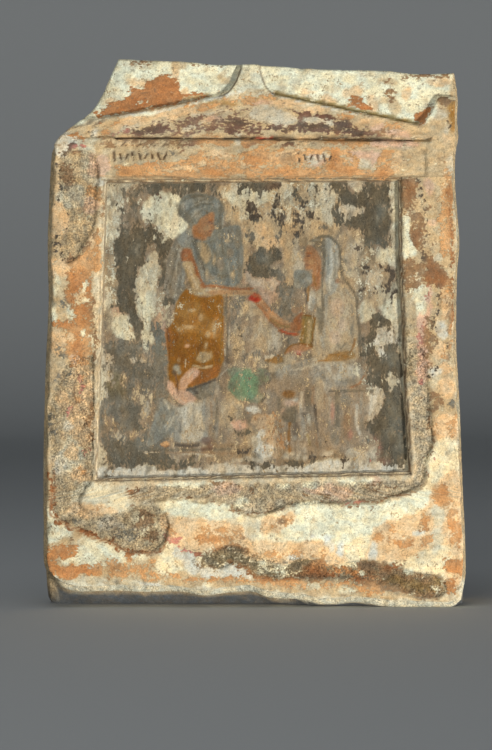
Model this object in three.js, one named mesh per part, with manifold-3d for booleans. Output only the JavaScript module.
// A carved limestone grave stele in the form of a small temple front: a sunk picture panel between
// two jambs, under an architrave, a dentil course and a low pediment with its corner ornaments.
// The slab is one stone. Its upper left corner is broken away and much of its face has spalled.
// Millimetres. +X is to the right, +Z is up and the carved face looks along -Y.
// The origin is at the middle of the underside's box.

import * as THREE from "three";
import { mergeVertices } from "three/addons/utils/BufferGeometryUtils.js";
import Module from "manifold-3d";

const wasm = await Module();
wasm.setup();

// ---- Driving dimensions ----

const WIDTH = 348;
const HEIGHT = 450;
const THICKNESS = 84;

const FRONT = -THICKNESS / 2; // y of the carved face
const HALF = WIDTH / 2;

// Depths below the front plane.
const FIELD_DEPTH = 4; // the plain ground above the pediment
const RAKE_DEPTH = 1.3; // the painted band of the raking cornice, below its fillet
const TYMPANUM_DEPTH = 3.2;
const GROOVE_DEPTH = 4.4; // the cut line under the tympanum
const DENTIL_DEPTH = 0.5;
const ARCHITRAVE_DEPTH = 1.3;
const LETTER_DEPTH = 0.8; // of the strokes, below the architrave
const LEDGE_DEPTH = 2.2; // the narrow step round the picture panel
const PANEL_DEPTH = 5;
const SPALL_DEPTH = 1.8; // where the dressed skin of the stone is lost

// ---- The outline of the slab, seen from the front ----

const CORNER_CHIP = [-166, 25]; // the knocked lower left corner
const LEFT_EDGE = [[-173, 36], [-174, 75], [-172.5, 120], [-170.5, 187], [-168.5, 250], [-168, 300], [-167, 362]];
const BROKEN_CORNER = [[-164.5, 375], [-158, 384], [-151, 391.5], [-139, 401], [-127, 413.5], [-117.5, 431], [-112.5, 442]];
const TOP_EDGE = [[-107, HEIGHT], [-57, 447], [-33, 443.8], [4, 443], [60, 440], [110, 439], [133, 435.7], [162, 436.7]];
const RIGHT_EDGE = [
  [165.5, 419], [165, 401], [166.5, 386], [163.8, 370], [163.8, 342], [167.2, 300], [164.6, 272],
  [164.2, 215], [167.5, 170], [169.5, 115], [173, 56], [HALF, 27],
];
const BOTTOM_EDGE = [
  [170, 6], [158, 0], [112, 0.6], [84, 3.8], [56, 2.6], [34, 6.3], [12, 7.6], [-2, 12.4], [-22, 11.5],
  [-42, 9.3], [-62, 12.6], [-90, 12.2], [-114, 13.4], [-142, 12.6], [-158, 16],
];

const OUTLINE_STEP = 9; // spacing of the points along an edge
const CHIP = 0.9; // how far the worn arris wanders

// How the section changes from the face to the back.
const RING_DEPTHS = [0, 3, 8, 16, 26, 36, 70, THICKNESS];
const ARRIS_ROUND = 16; // depth over which the sides come out from the face to their full width
const INSET = { left: 3.2, corner: 1.2, top: 0.8, right: 3.4, bottom: 5 }; // of the face inside the outline
const BACK_INSET = 2.5; // the worn arris of the back
const BACK_ROUND = 14;
const FOOT_ONSET = { least: 2, slope: 3, most: 26 }; // depth at which the broken foot comes down to its level bed
const FOOT_BLEND = 10;

const smooth = (t) => THREE.MathUtils.smoothstep(t, 0, 1);
const vec = ([x, z]) => new THREE.Vector2(x, z);

// Points along a smooth curve through the given places, a step apart, without the last.
function along(places, side) {
  const curve = new THREE.SplineCurve(places.map(vec));
  const count = Math.max(2, Math.round(curve.getLength() / OUTLINE_STEP));
  return curve.getSpacedPoints(count).slice(0, -1).map((p) => ({ x: p.x, z: p.y, side }));
}

// The whole outline, clockwise from the lower left corner, each point with the side that it lies on.
function outline() {
  const first = (list) => list[0];
  return [
    ...along([CORNER_CHIP, ...LEFT_EDGE, first(BROKEN_CORNER)], "left"),
    ...along([...BROKEN_CORNER, first(TOP_EDGE)], "corner"),
    ...along([...TOP_EDGE, first(RIGHT_EDGE)], "top"),
    ...along([...RIGHT_EDGE, first(BOTTOM_EDGE)], "right"),
    ...along([...BOTTOM_EDGE, CORNER_CHIP], "bottom"),
  ];
}

const INWARD = { left: [1, 0], corner: [0.6, -0.8], top: [0, -1], right: [-1, 0], bottom: [0, 1] };

// Height of the underside at a depth, where the broken edge in front is at height z.
function foot(z, depth) {
  const onset = Math.min(FOOT_ONSET.least + FOOT_ONSET.slope * z, FOOT_ONSET.most);
  return z * (1 - smooth((depth - onset) / FOOT_BLEND));
}

// One section of the slab: the outline, drawn in at the face and the back, with a level bed under it.
function section(points, depth) {
  const face = 1 - smooth(depth / ARRIS_ROUND);
  const back = smooth((depth - THICKNESS + BACK_ROUND) / BACK_ROUND);
  return points.map(({ x, z, side }) => {
    const wander = CHIP * face * (1 + Math.sin(0.19 * x + 0.23 * z) * Math.sin(0.083 * z - 0.11 * x));
    const inset = INSET[side] * face + wander + (side === "bottom" ? 0 : BACK_INSET * back);
    const [dx, dz] = INWARD[side];
    return [x + dx * inset, (side === "bottom" ? foot(z, depth) : z) + dz * inset];
  });
}

// ---- Solids ----

// A closed mesh with merged vertices as a solid.
function solidOf(geometry) {
  const bare = geometry.clone();
  bare.deleteAttribute("normal");
  bare.deleteAttribute("uv");
  const merged = mergeVertices(bare, 1e-4);
  return new wasm.Manifold(
    new wasm.Mesh({
      numProp: 3,
      vertProperties: merged.attributes.position.array,
      triVerts: new Uint32Array(merged.index.array),
    }),
  );
}

// A solid whose sections, given as lists of [x, z], lie one behind the other.
function loft(sections, depths) {
  const count = sections[0].length;
  const position = sections.flatMap((ring, i) => ring.flatMap(([x, z]) => [x, FRONT + depths[i], z]));
  const index = [];
  for (let ring = 0; ring + 1 < sections.length; ring++) {
    for (let i = 0; i < count; i++) {
      const a = ring * count + i;
      const b = ring * count + ((i + 1) % count);
      index.push(a, b, a + count, b, b + count, a + count);
    }
  }
  const last = (sections.length - 1) * count;
  for (const [a, b, c] of THREE.ShapeUtils.triangulateShape(sections[0].map(vec), [])) {
    index.push(a, b, c);
  }
  for (const [a, b, c] of THREE.ShapeUtils.triangulateShape(sections.at(-1).map(vec), [])) {
    index.push(last + a, last + c, last + b);
  }
  const geometry = new THREE.BufferGeometry();
  geometry.setAttribute("position", new THREE.Float32BufferAttribute(position, 3));
  geometry.setIndex(index);
  return solidOf(geometry);
}

// A cutter with the given outline on the face, down to a depth below the front plane.
function sink(places, depth) {
  const proud = 2;
  const geometry = new THREE.ExtrudeGeometry(new THREE.Shape(places.map(vec)), {
    depth: depth + proud,
    bevelEnabled: false,
  });
  geometry.rotateX(Math.PI / 2);
  geometry.translate(0, FRONT + depth, 0);
  return solidOf(geometry);
}

// A closed smooth outline through the given places.
function blob(places, points) {
  const curve = new THREE.CatmullRomCurve3(places.map(([x, z]) => new THREE.Vector3(x, z, 0)), true);
  return curve.getSpacedPoints(points).slice(0, -1).map((p) => [p.x, p.y]);
}

// ---- The pediment ----

const TYMPANUM_FOOT = 385; // height of the cut line under the tympanum
const APEX = [-1.5, 424.5]; // where the tops of the two raking cornices would meet
const RAKE_LEFT = [-118, 402];
const RAKE_RIGHT = [134, 395.5];
const FILLET = 4; // upright height of the cornice's fillet
const RAKE_BAND = 7.5; // and of the painted band under it
const AKROTERION_TOP = [-11, 4]; // left and right of the middle ornament, at the slab's top
const AKROTERION_FOOT = [-29, 17.5];
const CORNER_ORNAMENT = [[137, 397], [143, 404], [147, 412], [151, 418.5], [HALF + 5, 419.5]];
const OUTSIDE = HEIGHT + 20;

// Height of the top of the raking cornice at x.
function rakeTop(x) {
  const [foot, span] = x < APEX[0] ? [RAKE_LEFT, APEX[0] - RAKE_LEFT[0]] : [RAKE_RIGHT, APEX[0] - RAKE_RIGHT[0]];
  return foot[1] + ((APEX[1] - foot[1]) * (x - foot[0])) / span;
}

// The flank of the middle ornament, a hollow curve from the cornice to the top of the slab.
function flank(foot, top) {
  const start = vec([foot, rakeTop(foot)]);
  const end = vec([top, HEIGHT - 7]);
  const bend = vec([foot + 0.72 * (top - foot), rakeTop(foot) + 2]);
  return new THREE.QuadraticBezierCurve(start, bend, end).getPoints(6).map((p) => [p.x, p.y]);
}

// The sunk ground on each side of the middle ornament.
function fields() {
  const left = [
    [-HALF - 10, 399], [-140, 399.5], RAKE_LEFT, ...flank(AKROTERION_FOOT[0], AKROTERION_TOP[0]),
    [AKROTERION_TOP[0] + 1, OUTSIDE], [-HALF - 10, OUTSIDE],
  ];
  const right = [
    ...flank(AKROTERION_FOOT[1], AKROTERION_TOP[1]).reverse(), RAKE_RIGHT, ...CORNER_ORNAMENT,
    [HALF + 5, OUTSIDE], [AKROTERION_TOP[1] - 1, OUTSIDE],
  ];
  return [sink(left, FIELD_DEPTH), sink(right, FIELD_DEPTH)];
}

// The triangle that lies a given height below the top of the raking cornice.
function gable(drop, foot) {
  const reach = (from) => APEX[0] + ((from[0] - APEX[0]) * (APEX[1] - drop - foot)) / (APEX[1] - from[1]);
  return [[reach(RAKE_LEFT), foot], [APEX[0], APEX[1] - drop], [reach(RAKE_RIGHT), foot]];
}

function pedimentCuts() {
  const [band, floor] = [gable(FILLET, TYMPANUM_FOOT + 3), gable(FILLET + RAKE_BAND, TYMPANUM_FOOT)];
  const groove = [[-114, 384], [144, 382], [144, 383.6], [-114, TYMPANUM_FOOT + 0.6]];
  return [...fields(), sink(band, RAKE_DEPTH), sink(floor, TYMPANUM_DEPTH), sink(groove, GROOVE_DEPTH)];
}

// ---- The architrave and its worn inscription ----

const DENTIL_COURSE = [[-116, 376], [142, 375], [143, 382], [-115, 384]];
const ARCHITRAVE = [[-119, 351.6], [141, 353.2], [140, 375.4], [-117, 376.2]];
const STROKE_WIDTH = 1.1;
const STROKE_HEIGHT = 6.5;
const STROKE_GROUPS = [{ from: -115, count: 9, z: 370 }, { from: 36, count: 6, z: 369 }];
const STROKE_PITCH = 5.2;

// One shallow stroke, leaning by an angle in radians.
function stroke(x, z, length, lean) {
  const [w, h] = [STROKE_WIDTH / 2, length / 2];
  const turn = ([u, v]) => [x + u * Math.cos(lean) - v * Math.sin(lean), z + u * Math.sin(lean) + v * Math.cos(lean)];
  return sink([[-w, -h], [w, -h], [w, h], [-w, h]].map(turn), ARCHITRAVE_DEPTH + LETTER_DEPTH);
}

function inscription() {
  return STROKE_GROUPS.flatMap(({ from, count, z }) =>
    Array.from({ length: count }, (_, i) => {
      const lean = 0.5 * Math.sin(2.1 * i + 0.4);
      const length = STROKE_HEIGHT * (0.72 + 0.28 * Math.cos(1.7 * i));
      return stroke(from + i * STROKE_PITCH, z, length, lean);
    }),
  );
}

// ---- The sunk picture panel ----

const PANEL = [[-131, 104], [128.6, 109.6], [125.2, 170], [120.6, 285], [120, 352], [-123.3, 350.4], [-127, 235]];
const LEDGE = 2.2; // width of the step inside the panel's edge

// An outline moved towards its middle by about the given amount.
function inner(places, amount) {
  const middle = places.reduce((sum, [x, z]) => [sum[0] + x / places.length, sum[1] + z / places.length], [0, 0]);
  return places.map(([x, z]) => [x - amount * Math.sign(x - middle[0]), z - amount * Math.sign(z - middle[1])]);
}

function panelCuts() {
  return [sink(PANEL, LEDGE_DEPTH), sink(inner(PANEL, LEDGE), PANEL_DEPTH)];
}

// ---- Where the dressed skin is lost ----

const SPALLS = {
  upperLeftJamb: [
    [-159, 372], [-136, 374], [-128, 360], [-129, 334], [-131, 312], [-140, 297], [-148, 284], [-158, 284],
    [-160, 300], [-152, 315], [-159, 330], [-160, 350],
  ],
  lowerLeftCorner: [
    [-152, 203], [-138, 205], [-131.5, 198], [-132, 110], [-138, 98], [-142, 84], [-120, 77], [-94, 84],
    [-76, 80], [-70, 68], [-74, 54], [-86, 46], [-104, 46], [-118, 54], [-144, 66], [-163, 76], [-166, 94],
    [-167, 130], [-168, 165],
  ],
  roundThePanel: [
    [-103, 95], [-84, 100], [-44, 100], [38, 103], [110, 104], [131, 108], [129, 150], [126, 212], [138, 210],
    [142, 180], [146, 140], [141, 120], [139, 106], [131, 98], [106, 90], [60, 86], [26, 83], [12, 78],
    [-14, 79], [-24, 88], [-66, 91], [-90, 86],
  ],
  footBand: [
    [-41, 40], [-30, 49], [-14, 51], [4, 42], [40, 40], [60, 36], [90, 38], [122, 31], [152, 25], [157, 14],
    [146, 9], [126, 12], [112, 19], [84, 24], [40, 25], [6, 26], [-6, 34], [-14, 38], [-24, 33], [-36, 34],
  ],
};
const SPALL_POINTS = 56;

function spallCuts() {
  return Object.values(SPALLS).map((places) => sink(blob(places, SPALL_POINTS), SPALL_DEPTH));
}

// ---- The stele ----

function steleSolid() {
  const points = outline();
  const slab = loft(RING_DEPTHS.map((depth) => section(points, depth)), RING_DEPTHS);
  const architrave = [sink(DENTIL_COURSE, DENTIL_DEPTH), sink(ARCHITRAVE, ARCHITRAVE_DEPTH), ...inscription()];
  return [...pedimentCuts(), ...architrave, ...panelCuts(), ...spallCuts()]
    .reduce((stone, cutter) => stone.subtract(cutter), slab);
}

function geometryOf(solid) {
  const { vertProperties, triVerts } = solid.getMesh();
  const geometry = new THREE.BufferGeometry();
  geometry.setAttribute("position", new THREE.BufferAttribute(vertProperties, 3));
  geometry.setIndex(new THREE.BufferAttribute(triVerts, 1));
  geometry.computeVertexNormals();
  return geometry;
}

const limestone = new THREE.MeshStandardMaterial({ color: 0xc9b08a, roughness: 0.92, metalness: 0 });

const stele = new THREE.Mesh(geometryOf(steleSolid()), limestone);
stele.name = "stele";

const part = new THREE.Group();
part.add(stele);

export default part;
